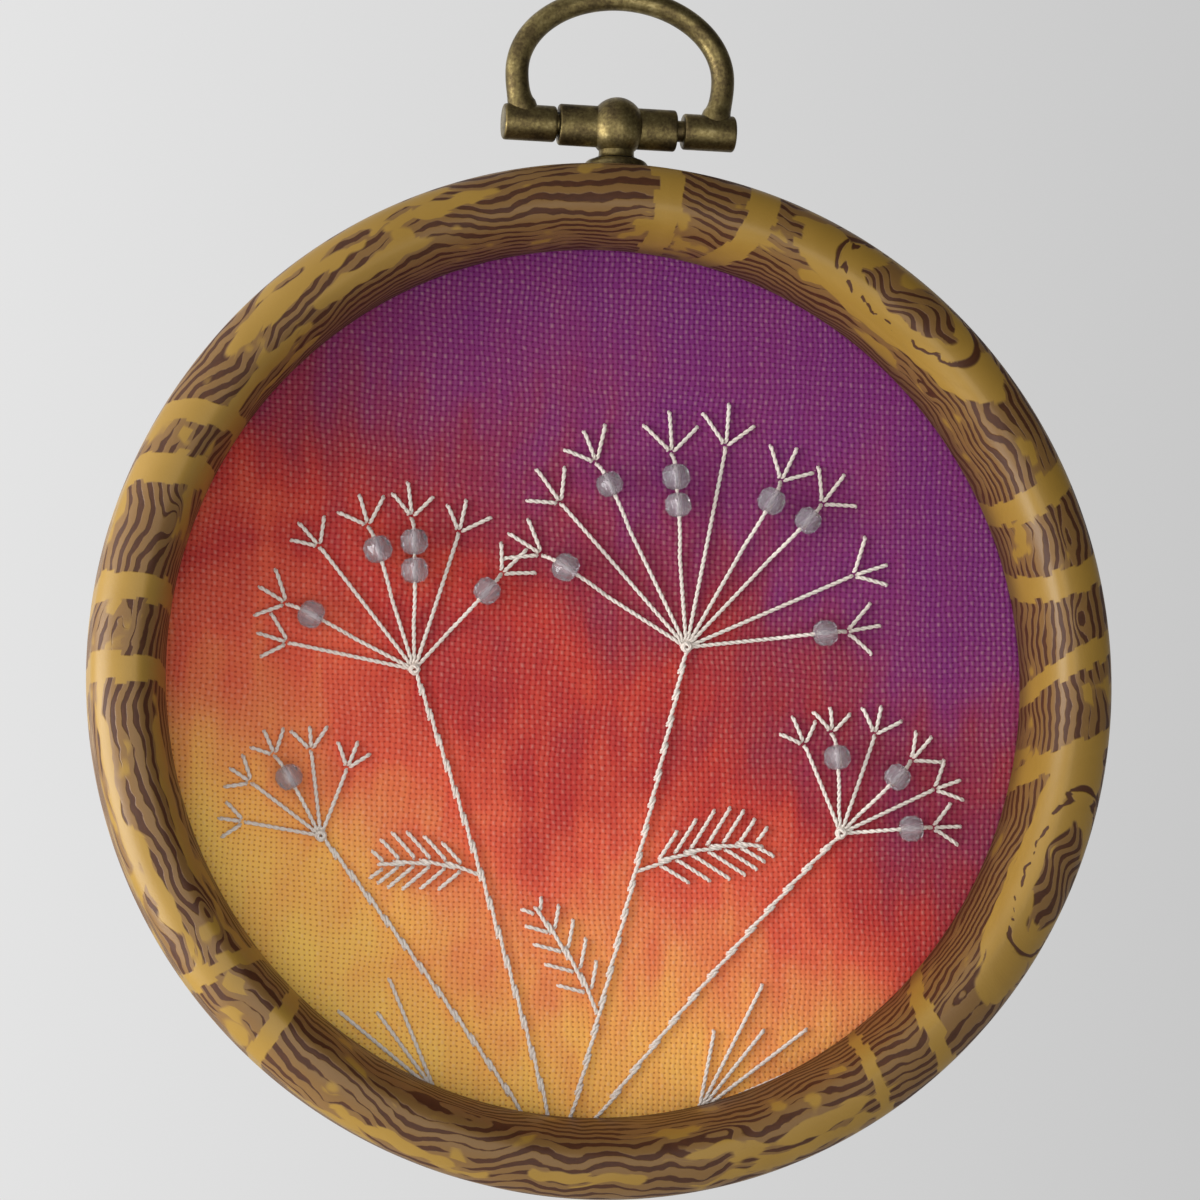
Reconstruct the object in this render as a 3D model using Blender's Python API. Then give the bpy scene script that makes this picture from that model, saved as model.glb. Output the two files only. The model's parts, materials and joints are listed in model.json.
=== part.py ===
"""Embroidery hoop hung by a ring: a soft wood-grain band snapped over an inner ring that holds a cloth.

Metres, +Z up. The hoop faces -Y. The origin is the point where the hanging ring is carried: the middle of
the underside of its top.
"""

import math

import bmesh
import bpy
from mathutils import Vector

MM = 0.001
GAP = 0.3 * MM

# Band: the soft outer hoop, a domed front with a gripping lip and a groove behind it
BAND_OUTER_R = 55.0 * MM
BAND_LIP_R = 46.6 * MM
BAND_CREST_R = 50.6 * MM
BAND_BACK_R = 53.4 * MM
BAND_DEPTH = 14.0 * MM
BAND_FRONT_Y = -7.2 * MM
BAND_BACK_Y = BAND_FRONT_Y + BAND_DEPTH
BAND_SIDE_FRONT_Y = -4.0 * MM
BAND_SIDE_BACK_Y = 0.0
GROOVE_R = 51.3 * MM
LIP_BACK_Y = 2.4 * MM
HOOP_STEPS = 72

# Cloth: a drum skin with its edge turned back over the inner ring
CLOTH_THICK = 1.0 * MM
CLOTH_FRONT_Y = LIP_BACK_Y + GAP
CLOTH_OUTER_R = GROOVE_R - GAP
CLOTH_EDGE_Y = BAND_BACK_Y - 0.7 * MM
CLOTH_FOLD_R = 0.6 * MM

# Inner ring: the stiff hoop under the cloth
RING_WIDTH = 3.6 * MM
RING_OUTER_R = CLOTH_OUTER_R - CLOTH_THICK - GAP
RING_INNER_R = RING_OUTER_R - RING_WIDTH
RING_FRONT_Y = CLOTH_FRONT_Y + CLOTH_THICK + GAP
RING_EDGE = 0.5 * MM

# Bail: the hanging ring, a bent rod whose ends carry knuckles with pins
ROD_R = 1.25 * MM
ROD_HALF_WIDTH = 11.1 * MM
ROD_CLEAR_HEIGHT = 12.8 * MM
ROD_WIDEST_ABOVE_PIN = 5.6 * MM
ROD_FOOT_HALF_WIDTH = 10.3 * MM
ROD_FOOT_ABOVE_PIN = 0.8 * MM
ROD_STEPS = 30
ROD_BEVEL_RES = 6
KNUCKLE_R = 1.95 * MM
KNUCKLE_LENGTH = 5.7 * MM
PIN_R = 1.15 * MM
PIN_LENGTH = 3.0 * MM
METAL_EDGE = 0.25 * MM
METAL_SIDES = 24

# Barrel: a ball on a sleeve that takes the pins, with a neck and a stud below
BALL_R = 3.0 * MM
SLEEVE_R = 2.25 * MM
SLEEVE_LENGTH = 12.9 * MM
SLEEVE_LEFT_GAP = 0.3 * MM
SLEEVE_RIGHT_GAP = 0.75 * MM
BORE_R = PIN_R + GAP
BORE_DEPTH = PIN_LENGTH + 0.25 * MM
NECK_R = 1.9 * MM
STUD_R = 1.2 * MM
STUD_IN_BAND = 2.3 * MM

# Flange: the domed washer between the barrel and the band, on a flat cut in the band's top
PIN_ABOVE_BAND = 4.6 * MM
SEAT_CUT = 0.4 * MM
SEAT_R = 3.85 * MM
FLANGE_R = 3.55 * MM
FLANGE_TOP_R = 2.6 * MM
FLANGE_RIM = 0.4 * MM
FLANGE_HEIGHT = 1.15 * MM

# Places that follow from the sizes
PIN_Z = -ROD_CLEAR_HEIGHT
HOOP_X = (SLEEVE_LEFT_GAP - SLEEVE_RIGHT_GAP) / 2
HOOP_Z = PIN_Z - PIN_ABOVE_BAND - BAND_OUTER_R
KNUCKLE_X = (SLEEVE_LENGTH + SLEEVE_LEFT_GAP + SLEEVE_RIGHT_GAP) / 2
SEAT_Z = HOOP_Z + BAND_OUTER_R - SEAT_CUT
FLANGE_Z = SEAT_Z + GAP
NECK_Z = FLANGE_Z + FLANGE_HEIGHT + GAP
STUD_Z = SEAT_Z - STUD_IN_BAND

X_AXIS = Vector((1, 0, 0))
Y_AXIS = Vector((0, 1, 0))
Z_AXIS = Vector((0, 0, 1))
HOOP_CENTRE = Vector((HOOP_X, 0, HOOP_Z))

# Material name, colour, roughness and metallic value
VINYL = ("wood_grain_vinyl", (0.42, 0.28, 0.11), 0.38, 0.0)
COTTON = ("dyed_cotton", (0.55, 0.08, 0.07), 0.85, 0.0)
PLASTIC = ("ring_plastic", (0.50, 0.36, 0.17), 0.45, 0.0)
BRASS = ("aged_brass", (0.22, 0.17, 0.08), 0.38, 0.9)


def clear_scene():
    for thing in list(bpy.data.objects):
        bpy.data.objects.remove(thing)


def finish_material(kind):
    name, colour, roughness, metallic = kind
    material = bpy.data.materials.new(name)
    material.use_nodes = True
    shader = material.node_tree.nodes["Principled BSDF"]
    shader.inputs["Base Color"].default_value = (*colour, 1.0)
    shader.inputs["Roughness"].default_value = roughness
    shader.inputs["Metallic"].default_value = metallic
    return material


def add_piece(name, mesh, material):
    piece = bpy.data.objects.new(name, mesh)
    bpy.context.scene.collection.objects.link(piece)
    mesh.materials.append(material)
    mesh.shade_smooth()
    mesh.set_sharp_from_angle(angle=math.radians(35))
    return piece


def add_cutter(name, mesh):
    helper = bpy.data.objects.new(name, mesh)
    bpy.context.scene.collection.objects.link(helper)
    helper.hide_render = True
    helper.display_type = "WIRE"
    return helper


def combine(target, helper, operation):
    step = target.modifiers.new(f"{operation.lower()}_{helper.name}", "BOOLEAN")
    step.operation = operation
    step.object = helper
    step.solver = "EXACT"


def arc(centre, half_width, half_depth, start_deg, end_deg, steps):
    """Points of an ellipse about centre, both ends included."""
    points = []
    for i in range(steps + 1):
        turn = math.radians(start_deg + (end_deg - start_deg) * i / steps)
        points.append((centre[0] + half_width * math.cos(turn), centre[1] + half_depth * math.sin(turn)))
    return points


def turned(name, outline, centre, axis, across, steps):
    """A closed solid turned about axis: the outline holds each point's radius and its place along the axis."""
    work = bmesh.new()
    profile = [work.verts.new(centre + across * radius + axis * along) for radius, along in outline]
    edges = [work.edges.new(pair) for pair in zip(profile, profile[1:])]
    if outline[0][0] > 0:
        edges.append(work.edges.new((profile[-1], profile[0])))
    bmesh.ops.spin(work, geom=profile + edges, cent=centre, axis=axis, angle=2 * math.pi, steps=steps,
                   use_merge=True, use_duplicate=False)
    bmesh.ops.remove_doubles(work, verts=work.verts, dist=0.001 * MM)
    bmesh.ops.recalc_face_normals(work, faces=work.faces)
    mesh = bpy.data.meshes.new(name)
    work.to_mesh(mesh)
    work.free()
    return mesh


def band_outline():
    inner_side = arc((BAND_CREST_R, LIP_BACK_Y), BAND_CREST_R - BAND_LIP_R, LIP_BACK_Y - BAND_FRONT_Y, 180, 270, 8)
    outer_side = arc((BAND_CREST_R, BAND_SIDE_FRONT_Y), BAND_OUTER_R - BAND_CREST_R,
                     BAND_SIDE_FRONT_Y - BAND_FRONT_Y, 270, 360, 6)
    back_side = arc((BAND_BACK_R, BAND_SIDE_BACK_Y), BAND_OUTER_R - BAND_BACK_R, BAND_BACK_Y - BAND_SIDE_BACK_Y,
                    0, 90, 4)
    groove = [(GROOVE_R, BAND_BACK_Y), (GROOVE_R, LIP_BACK_Y)]
    return inner_side + outer_side[1:] + back_side + groove


def make_band(material):
    mesh = turned("band", band_outline(), HOOP_CENTRE, Y_AXIS, Z_AXIS, HOOP_STEPS)
    band = add_piece("band", mesh, material)
    hole_foot = STUD_Z - GAP - SEAT_Z
    outline = [(0, hole_foot), (STUD_R + GAP, hole_foot), (STUD_R + GAP, 0), (SEAT_R, 0),
               (SEAT_R, PIN_ABOVE_BAND), (0, PIN_ABOVE_BAND)]
    seat = turned("seat_cut", outline, Vector((HOOP_X, 0, SEAT_Z)), Z_AXIS, X_AXIS, METAL_SIDES)
    combine(band, add_cutter("seat_cut", seat), "DIFFERENCE")


def make_cloth(material):
    back_y = CLOTH_FRONT_Y + CLOTH_THICK
    skirt_r = CLOTH_OUTER_R - CLOTH_THICK
    fold = arc((CLOTH_OUTER_R - CLOTH_FOLD_R, CLOTH_FRONT_Y + CLOTH_FOLD_R), CLOTH_FOLD_R, CLOTH_FOLD_R, 270, 360, 3)
    skirt = [(CLOTH_OUTER_R, CLOTH_EDGE_Y), (skirt_r, CLOTH_EDGE_Y), (skirt_r, back_y)]
    outline = [(0, CLOTH_FRONT_Y)] + fold + skirt + [(0, back_y)]
    add_piece("cloth", turned("cloth", outline, HOOP_CENTRE, Y_AXIS, Z_AXIS, HOOP_STEPS), material)


def make_inner_ring(material):
    outline = [(RING_INNER_R, RING_FRONT_Y + RING_EDGE), (RING_INNER_R + RING_EDGE, RING_FRONT_Y),
               (RING_OUTER_R - RING_EDGE, RING_FRONT_Y), (RING_OUTER_R, RING_FRONT_Y + RING_EDGE),
               (RING_OUTER_R, BAND_BACK_Y), (RING_INNER_R, BAND_BACK_Y)]
    add_piece("inner_ring", turned("inner_ring", outline, HOOP_CENTRE, Y_AXIS, Z_AXIS, HOOP_STEPS), material)


def make_flange(material):
    dome = arc((FLANGE_TOP_R, FLANGE_RIM), FLANGE_R - FLANGE_TOP_R, FLANGE_HEIGHT - FLANGE_RIM, 0, 90, 4)
    outline = [(STUD_R + GAP, 0), (FLANGE_R, 0)] + dome + [(STUD_R + GAP, FLANGE_HEIGHT)]
    place = Vector((HOOP_X, 0, FLANGE_Z))
    add_piece("flange", turned("flange", outline, place, Z_AXIS, X_AXIS, METAL_SIDES), material)


def barrel_outline():
    """Sleeve and ball about the pin axis, with a blind bore in each end."""
    end = SLEEVE_LENGTH / 2
    bore = end - BORE_DEPTH
    right = [(0, bore), (BORE_R, bore), (BORE_R, end), (SLEEVE_R - METAL_EDGE, end), (SLEEVE_R, end - METAL_EDGE)]
    meet_deg = math.degrees(math.acos(SLEEVE_R / BALL_R))
    ball = arc((0, 0), BALL_R, BALL_R, meet_deg, -meet_deg, 10)
    left = [(radius, -along) for radius, along in reversed(right)]
    return right + ball + left


def make_barrel(material):
    mesh = turned("barrel", barrel_outline(), Vector((HOOP_X, 0, PIN_Z)), X_AXIS, Z_AXIS, METAL_SIDES)
    barrel = add_piece("barrel", mesh, material)
    inside_ball = PIN_Z - BALL_R / 2 - NECK_Z
    outline = [(0, STUD_Z - NECK_Z), (STUD_R, STUD_Z - NECK_Z), (STUD_R, 0), (NECK_R, 0), (NECK_R, inside_ball),
               (0, inside_ball)]
    neck = turned("neck", outline, Vector((HOOP_X, 0, NECK_Z)), Z_AXIS, X_AXIS, METAL_SIDES)
    combine(barrel, add_cutter("neck", neck), "UNION")


def rod_path():
    """The rod's centreline: a half ellipse above its widest place, and legs that bow in below it."""
    widest_z = PIN_Z + ROD_WIDEST_ABOVE_PIN
    top_height = ROD_CLEAR_HEIGHT + ROD_R - ROD_WIDEST_ABOVE_PIN
    foot_deg = math.degrees(math.acos(ROD_FOOT_HALF_WIDTH / ROD_HALF_WIDTH))
    leg_height = (ROD_WIDEST_ABOVE_PIN - ROD_FOOT_ABOVE_PIN) / math.sin(math.radians(foot_deg))
    points = []
    for i in range(ROD_STEPS + 1):
        turn = math.radians(-foot_deg + (180 + 2 * foot_deg) * i / ROD_STEPS)
        height = top_height if math.sin(turn) > 0 else leg_height
        points.append((ROD_HALF_WIDTH * math.cos(turn), 0, widest_z + height * math.sin(turn)))
    return points


def rod_mesh():
    line = bpy.data.curves.new("rod", "CURVE")
    line.dimensions = "3D"
    line.bevel_depth = ROD_R
    line.bevel_resolution = ROD_BEVEL_RES
    line.use_fill_caps = True
    path = rod_path()
    spline = line.splines.new("POLY")
    spline.points.add(len(path) - 1)
    for point, place in zip(spline.points, path):
        point.co = (*place, 1)
    holder = bpy.data.objects.new("rod_line", line)
    bpy.context.scene.collection.objects.link(holder)
    graph = bpy.context.evaluated_depsgraph_get()
    mesh = bpy.data.meshes.new_from_object(holder.evaluated_get(graph))
    bpy.data.objects.remove(holder)
    work = bmesh.new()
    work.from_mesh(mesh)
    bmesh.ops.remove_doubles(work, verts=work.verts, dist=0.001 * MM)
    bmesh.ops.recalc_face_normals(work, faces=work.faces)
    work.to_mesh(mesh)
    work.free()
    return mesh


def make_bail(material):
    bail = add_piece("bail", rod_mesh(), material)
    inner = KNUCKLE_X
    outer = KNUCKLE_X + KNUCKLE_LENGTH
    outline = [(0, inner - PIN_LENGTH), (PIN_R, inner - PIN_LENGTH), (PIN_R, inner), (KNUCKLE_R - METAL_EDGE, inner),
               (KNUCKLE_R, inner + METAL_EDGE), (KNUCKLE_R, outer - METAL_EDGE), (KNUCKLE_R - METAL_EDGE, outer),
               (0, outer)]
    for name, side in (("knuckle_left", -X_AXIS), ("knuckle_right", X_AXIS)):
        knuckle = turned(name, outline, Vector((0, 0, PIN_Z)), side, Z_AXIS, METAL_SIDES)
        combine(bail, add_cutter(name, knuckle), "UNION")


def main():
    clear_scene()
    brass = finish_material(BRASS)
    make_band(finish_material(VINYL))
    make_cloth(finish_material(COTTON))
    make_inner_ring(finish_material(PLASTIC))
    make_flange(brass)
    make_barrel(brass)
    make_bail(brass)


main()
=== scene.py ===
import json
import math
import random

import bmesh
import bpy
from mathutils import Matrix, Vector


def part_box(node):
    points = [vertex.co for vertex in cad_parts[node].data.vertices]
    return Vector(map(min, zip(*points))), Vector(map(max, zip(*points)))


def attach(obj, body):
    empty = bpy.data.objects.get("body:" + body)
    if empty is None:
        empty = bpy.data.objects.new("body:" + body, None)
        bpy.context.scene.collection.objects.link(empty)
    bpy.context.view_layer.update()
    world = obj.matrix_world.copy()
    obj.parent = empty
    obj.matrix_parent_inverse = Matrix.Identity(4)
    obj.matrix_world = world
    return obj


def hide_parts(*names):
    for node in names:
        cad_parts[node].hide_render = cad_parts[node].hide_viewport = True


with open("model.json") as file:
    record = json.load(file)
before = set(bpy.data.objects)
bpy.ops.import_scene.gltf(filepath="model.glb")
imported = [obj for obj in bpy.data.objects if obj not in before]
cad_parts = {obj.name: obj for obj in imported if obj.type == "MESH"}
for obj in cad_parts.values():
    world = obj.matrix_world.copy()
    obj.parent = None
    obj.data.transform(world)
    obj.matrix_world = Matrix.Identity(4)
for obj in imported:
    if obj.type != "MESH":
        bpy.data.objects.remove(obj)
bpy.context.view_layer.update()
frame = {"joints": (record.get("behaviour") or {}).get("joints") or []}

mm = 0.001
xAxis, yAxis, zAxis = Vector((1, 0, 0)), Vector((0, 1, 0)), Vector((0, 0, 1))

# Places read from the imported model
bandLow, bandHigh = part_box("band")
outerR = (bandHigh.x - bandLow.x) / 2
hoopPlace = Vector(((bandLow.x + bandHigh.x) / 2, 0, bandLow.z + outerR))
frontY, backY = bandLow.y, bandHigh.y
hingePlace = Vector(frame["joints"][0]["pos_m"])
barrelLow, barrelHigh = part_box("barrel")
flangeLow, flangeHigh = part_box("flange")
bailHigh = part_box("bail")[1]


# Shared helpers

def linear(hexText):  # an sRGB hex colour as linear red, green, blue, alpha
    parts = [int(hexText[i:i + 2], 16) / 255 for i in (1, 3, 5)]
    return tuple(c / 12.92 if c <= 0.04045 else ((c + 0.055) / 1.055) ** 2.4 for c in parts) + (1.0,)


def feed(tree, node, links):  # links: socket name or number to a value, a socket, a node or a list of nodes
    for key, value in links.items():
        for one in value if isinstance(value, list) else [value]:
            if isinstance(one, bpy.types.Node):
                one = next(socket for socket in one.outputs if socket.enabled)
            if isinstance(one, bpy.types.NodeSocket):
                tree.links.new(one, node.inputs[key])
            else:
                node.inputs[key].default_value = one


def addNode(tree, kind, links=None, stops=None, **settings):
    node = tree.nodes.new(kind)
    for name, value in settings.items():
        setattr(node, name, value)
    feed(tree, node, links or {})
    for i, (place, colour) in enumerate(stops or []):
        ramp = node.color_ramp.elements
        stop = ramp[i] if i < len(ramp) else ramp.new(place)
        stop.position = place
        stop.color = linear(colour)
    return node


def newMaterial(name, **sockets):
    material = bpy.data.materials.new(name)
    material.use_nodes = True
    shader = material.node_tree.nodes["Principled BSDF"]
    for socket, value in sockets.items():
        shader.inputs[socket.replace("_", " ")].default_value = value
    return material, material.node_tree, shader


def addObject(name, data):
    thing = bpy.data.objects.new(name, data)
    bpy.context.scene.collection.objects.link(thing)
    return thing


def newPiece(name, mesh, material, body, slot, *stoodFor):
    piece = addObject(name, mesh)
    if not mesh.materials:
        mesh.materials.append(material)
    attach(piece, body)
    if stoodFor:
        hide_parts(*stoodFor)
    return piece


def arcPoints(centre, halfWidth, halfDepth, startDeg, endDeg, steps):
    turns = [math.radians(startDeg + (endDeg - startDeg) * i / steps) for i in range(steps + 1)]
    return [(centre[0] + halfWidth * math.cos(t), centre[1] + halfDepth * math.sin(t)) for t in turns]


def newMesh(name, points, edges=(), faces=()):
    mesh = bpy.data.meshes.new(name)
    mesh.from_pydata(points, edges, faces)
    return mesh


def gridFaces(rows, count, joinRows=True, joinCount=True):  # quads over rows of points that lie side by side
    faces = []
    for i in range(rows if joinRows else rows - 1):
        following = (i + 1) % rows
        for j in range(count if joinCount else count - 1):
            k = (j + 1) % count
            faces.append((i * count + j, i * count + k, following * count + k, following * count + j))
    return faces


def turnedMesh(name, outline, place, axis, start, steps):  # outline: radius and place along the axis, closed
    side = axis.cross(start)
    points = []
    for i in range(steps):
        turn = 2 * math.pi * i / steps
        outward = start * math.cos(turn) + side * math.sin(turn)
        points += [place + outward * radius + axis * along for radius, along in outline]
    return newMesh(name, points, faces=gridFaces(steps, len(outline)))


def turnOutward(mesh, mergeReach=0.0):  # all faces point outward, once points nearer than mergeReach are one
    work = bmesh.new()
    work.from_mesh(mesh)
    if mergeReach:
        bmesh.ops.remove_doubles(work, verts=work.verts, dist=mergeReach)
        bmesh.ops.dissolve_degenerate(work, edges=work.edges, dist=mergeReach)
    bmesh.ops.recalc_face_normals(work, faces=work.faces)
    work.to_mesh(mesh)
    work.free()


def smoothed(mesh, sharpDeg):  # smooth but for edges sharper than sharpDeg
    mesh.shade_smooth()
    mesh.set_sharp_from_angle(angle=math.radians(sharpDeg))
    return mesh


def cleaned(mesh, sharpDeg=40):  # poles closed, faces outward, smooth
    turnOutward(mesh, 0.0005 * mm)
    return smoothed(mesh, sharpDeg)


def joinedMesh(name, meshes):
    work = bmesh.new()
    for mesh in meshes:
        work.from_mesh(mesh)
    joined = bpy.data.meshes.new(name)
    work.to_mesh(joined)
    work.free()
    return joined


def newTree(name, inputs):  # a Geometry Nodes tree with named inputs; rows of name, socket type, value
    tree = bpy.data.node_groups.new(name, "GeometryNodeTree")
    tree.interface.new_socket(name="Geometry", in_out="INPUT", socket_type="NodeSocketGeometry")
    tree.interface.new_socket(name="Geometry", in_out="OUTPUT", socket_type="NodeSocketGeometry")
    for label, kind, value in inputs:
        socket = tree.interface.new_socket(name=label, in_out="INPUT", socket_type=kind)
        if value is not None:
            socket.default_value = value
    return tree, addNode(tree, "NodeGroupInput"), addNode(tree, "NodeGroupOutput")


def endTree(tree, given, result, geometry):  # plain faces, with the material that the tree is given
    plain = addNode(tree, "GeometryNodeRealizeInstances", {"Geometry": geometry})
    finished = addNode(tree, "GeometryNodeSetMaterial", {"Geometry": plain, "Material": given.outputs["Material"]})
    feed(tree, result, {"Geometry": finished})


def grownMesh(name, source, tree, values):  # runs a tree on a mesh and gives back the plain result
    holder = addObject(name, source)
    grower = holder.modifiers.new("grow", "NODES")
    grower.node_group = tree
    for item in tree.interface.items_tree:
        if item.in_out == "INPUT" and item.name in values:
            grower[item.identifier] = values[item.name]
    graph = bpy.context.evaluated_depsgraph_get()
    mesh = bpy.data.meshes.new_from_object(holder.evaluated_get(graph))
    holder.modifiers.remove(grower)
    bpy.data.objects.remove(holder)
    mesh.name = name
    return mesh


# Soft outer band: moulded vinyl, printed with a wood grain

band = {
    "lipR": 46.6 * mm,
    "crestR": 50.6 * mm,
    "backR": 53.4 * mm,
    "grooveR": 51.3 * mm,
    "lipBackY": 2.4 * mm,
    "sideFrontY": -4.0 * mm,
    "sideBackY": 0.0,
    "steps": 720,
    "sectionSteps": (26, 16, 6, 8, 4, 6),  # inner side, outer side, side, back curve, back face, groove
    "seatR": 3.85 * mm,  # flat place for the washer
    "seatSlope": 0.8,  # how fast the band rises again round the seat
    "seatSink": 0.3 * mm,
}

grain = {
    "pitch": 1.16,  # mm from stroke to stroke
    "strokeLength": 9.0,  # mm
    "strokeHalf": (-0.12, 0.17),  # half a stroke's width where it is thinnest and thickest, in pitches
    "waveReach": (6.5, 6.0),  # mm along and across, over which neighbouring strokes wave alike
    "waveRows": 3.4,  # pitches that such a wave can shift a stroke
    "wiggleRows": 0.45,
    "swings": [(7, 0.5, 0), (11, 0.4, 40)],  # slow swings of all strokes: how many round the ring, mm, degrees
    "printReach": 16.0,  # mm from the crest to where the print has thinned out
    "printFade": 3.0,  # mm
    "inkDepth": 0.09 * mm,
    "seamDeg": 85.0,  # the pattern's ends meet inside this pale band
    # pale bands across the ring: degrees, half width mm, slant mm per mm, bow mm
    "crossBands": [(85, 1.45, 0.0, 0.0), (74, 1.6, -0.16, 0.5), (24.5, 1.45, 0.20, 0.6), (13.5, 1.5, 0.12, 0.6),
                   (4, 1.2, 0.40, 0.0), (-7.5, 1.3, 0.46, 0.3), (-46, 1.1, -0.30, 0.4), (-55, 0.7, -0.2, 0.0),
                   (227, 0.9, 0.12, 0.2), (218, 1.0, -0.16, 0.3), (181, 1.4, -0.06, 0.5), (171.5, 1.45, 0.05, 0.6),
                   (157, 1.6, 0.24, 0.7), (149.5, 1.2, 0.30, 0.5)],
    # pale streaks along the ring: degrees, place across mm, half length mm, half width mm
    "streaks": [(-64, 12.6, 9.0, 0.9), (200, 8.5, 13.0, 0.9), (208, 13.8, 8.0, 0.8), (112, 13.4, 7.0, 0.7),
                (124, 10.4, 8.0, 1.0), (133, 13.4, 10.0, 1.1), (141, 9.0, 8.0, 1.0), (292, 14.6, 9.0, 0.8),
                (268, 13.4, 6.0, 0.7), (247, 14.8, 8.0, 0.7), (122, 15.6, 11.0, 0.9), (195, 15.0, 9.0, 0.7),
                (138, 5.6, 6.0, 0.8), (282, 11.6, 4.0, 0.6)],
    # knots: degrees, place across mm, half length and half width mm of the pale oval, its half thickness mm
    "knots": [(53, 12.6, 10.4, 4.6, 1.2), (-22, 13.2, 10.8, 4.4, 1.15)],
    "eyeRise": 1.7,  # how far an eye pushes the strokes aside, in half widths
    "eyeFade": 1.9,
    # eyes: small ovals that the strokes run round: degrees, place across mm, half length, half width mm
    "eyes": [(8.8, 11.6, 2.2, 1.0), (19, 12.2, 2.6, 0.9), (176, 12.0, 2.4, 1.0), (163, 9.5, 3.0, 1.3),
             (320, 10.5, 6.0, 1.5), (283, 9.5, 7.0, 1.4), (212, 10.0, 5.0, 1.2), (252, 8.0, 7.0, 1.3),
             (44, 4.6, 3.0, 0.9)],
    # where strokes run at a slant to the ring: degrees, mm per mm, reach mm
    "leans": [(132, 0.34, 17.0), (160, 0.2, 9.0), (300, -0.12, 14.0), (262, 0.1, 16.0), (205, 0.1, 12.0)],
    # more ink than usual: degrees, reach mm, amount
    "inkSpots": [(133, 15.0, 0.4), (105, 11.0, 0.2), (270, 32.0, 0.15), (190, 9.0, 0.15), (30, 14.0, 0.3),
                 (330, 26.0, 0.25)],
    "vinyl": "#896926",
    "vinylPale": "#987733",
    "vinylDull": "#6D4E2C",  # the glaze between strokes
    "lip": "#3B2712",  # painted shade in the recess beside the lip, where the band meets the cloth
    "ink": "#311503",
    "inkSoft": "#4C2709",
}


def bandOutline():
    a, b, c, d, e, f = band["sectionSteps"]
    crest, lipBack = band["crestR"], band["lipBackY"]
    inner = arcPoints((crest, lipBack), crest - band["lipR"], lipBack - frontY, 180, 270, a)
    outer = arcPoints((crest, band["sideFrontY"]), outerR - crest, band["sideFrontY"] - frontY, 270, 360, b)
    side = [(outerR, band["sideFrontY"] + (band["sideBackY"] - band["sideFrontY"]) * i / c) for i in range(1, c)]
    back = arcPoints((band["backR"], band["sideBackY"]), outerR - band["backR"], backY - band["sideBackY"], 0, 90, d)
    face = [(band["backR"] + (band["grooveR"] - band["backR"]) * i / e, backY) for i in range(1, e + 1)]
    groove = [(band["grooveR"], backY + (lipBack - backY) * i / f) for i in range(1, f + 1)]
    under = [(band["grooveR"] + (band["lipR"] - band["grooveR"]) * i / f, lipBack) for i in range(1, f)]
    return inner + outer[1:] + side + back + face + groove + under


def sectionLengths(outline):  # mm from the lip's edge, over the crest, to each point of the section
    lengths = [0.0]
    for before, after in zip(outline, outline[1:]):
        lengths.append(lengths[-1] + math.dist(before, after) / mm)
    return lengths


def arcLength(deg, centreDeg):  # mm along the crest from one angle to another, the short way round
    return math.radians((deg - centreDeg + 180) % 360 - 180) * band["crestR"] / mm


def smooth(low, high, value):
    share = min(1.0, max(0.0, (value - low) / (high - low)))
    return share * share * (3 - 2 * share)


def grainFields(deg, across, crestAcross):  # stroke coordinate, depth in a pale place, ink, way to a knot's line
    flow = across + sum(rise * math.sin(math.radians(deg * count + start)) for count, rise, start in grain["swings"])
    pale, density, line = -9.0, 0.0, 9.0
    for centre, slope, reach in grain["leans"]:
        arc = arcLength(deg, centre)
        flow += slope * arc * math.exp(-(arc / reach) ** 2)
    for centre, place, halfLength, halfWidth in grain["eyes"]:
        reach = math.hypot(arcLength(deg, centre) / halfLength, (across - place) / halfWidth)
        flow += grain["eyeRise"] * halfWidth * math.exp(-grain["eyeFade"] * reach ** 2)
    for centre, halfWidth, slant, bow in grain["crossBands"]:
        step = across - crestAcross
        off = arcLength(deg, centre) - slant * step - bow * (step / 5) ** 2
        pale = max(pale, halfWidth - abs(off))
    for centre, place, halfLength, halfWidth in grain["streaks"]:
        reach = math.hypot(arcLength(deg, centre) / halfLength, (across - place) / halfWidth)
        pale = max(pale, halfWidth * (1 - reach))
    for centre, place, halfLength, halfWidth, halfThick in grain["knots"]:
        arc, side = arcLength(deg, centre), (across - place) / halfWidth
        reach = math.hypot(arc / halfLength, side)
        # strokes run round the knot, and lie loose and thick in its heart
        flow += (place + halfWidth * reach - flow) * smooth(1.3, 1.05, reach)
        heart = smooth(0.76, 0.62, reach)
        flow += (across + 0.8 * math.sin(arc * 0.95 + across * 0.5) - flow) * heart
        density += 0.3 * heart
        open = smooth(0.8, 0.3, side)  # the pale ring is shut only on the inner side and at the ends
        pale = max(pale, halfThick * (2 * open - 1) - abs(reach - 1.1) * halfWidth)
        pale = max(pale, 0.8 * open - abs(reach - 0.72) * halfWidth)
        if reach < 1.3:
            line = (reach - 0.86) * halfWidth + 0.2 * math.sin(arc * 1.9) + 0.12 * math.sin(arc * 4.1 + 1)
    for centre, reach, amount in grain["inkSpots"]:
        density += amount * math.exp(-(arcLength(deg, centre) / reach) ** 2)
    # dense beside the lip, sparse towards the outer side
    density += 0.25 * smooth(4.0, 1.0, across) - 0.2 * smooth(13.0, 16.0, across)
    return flow, pale, density, line


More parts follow.
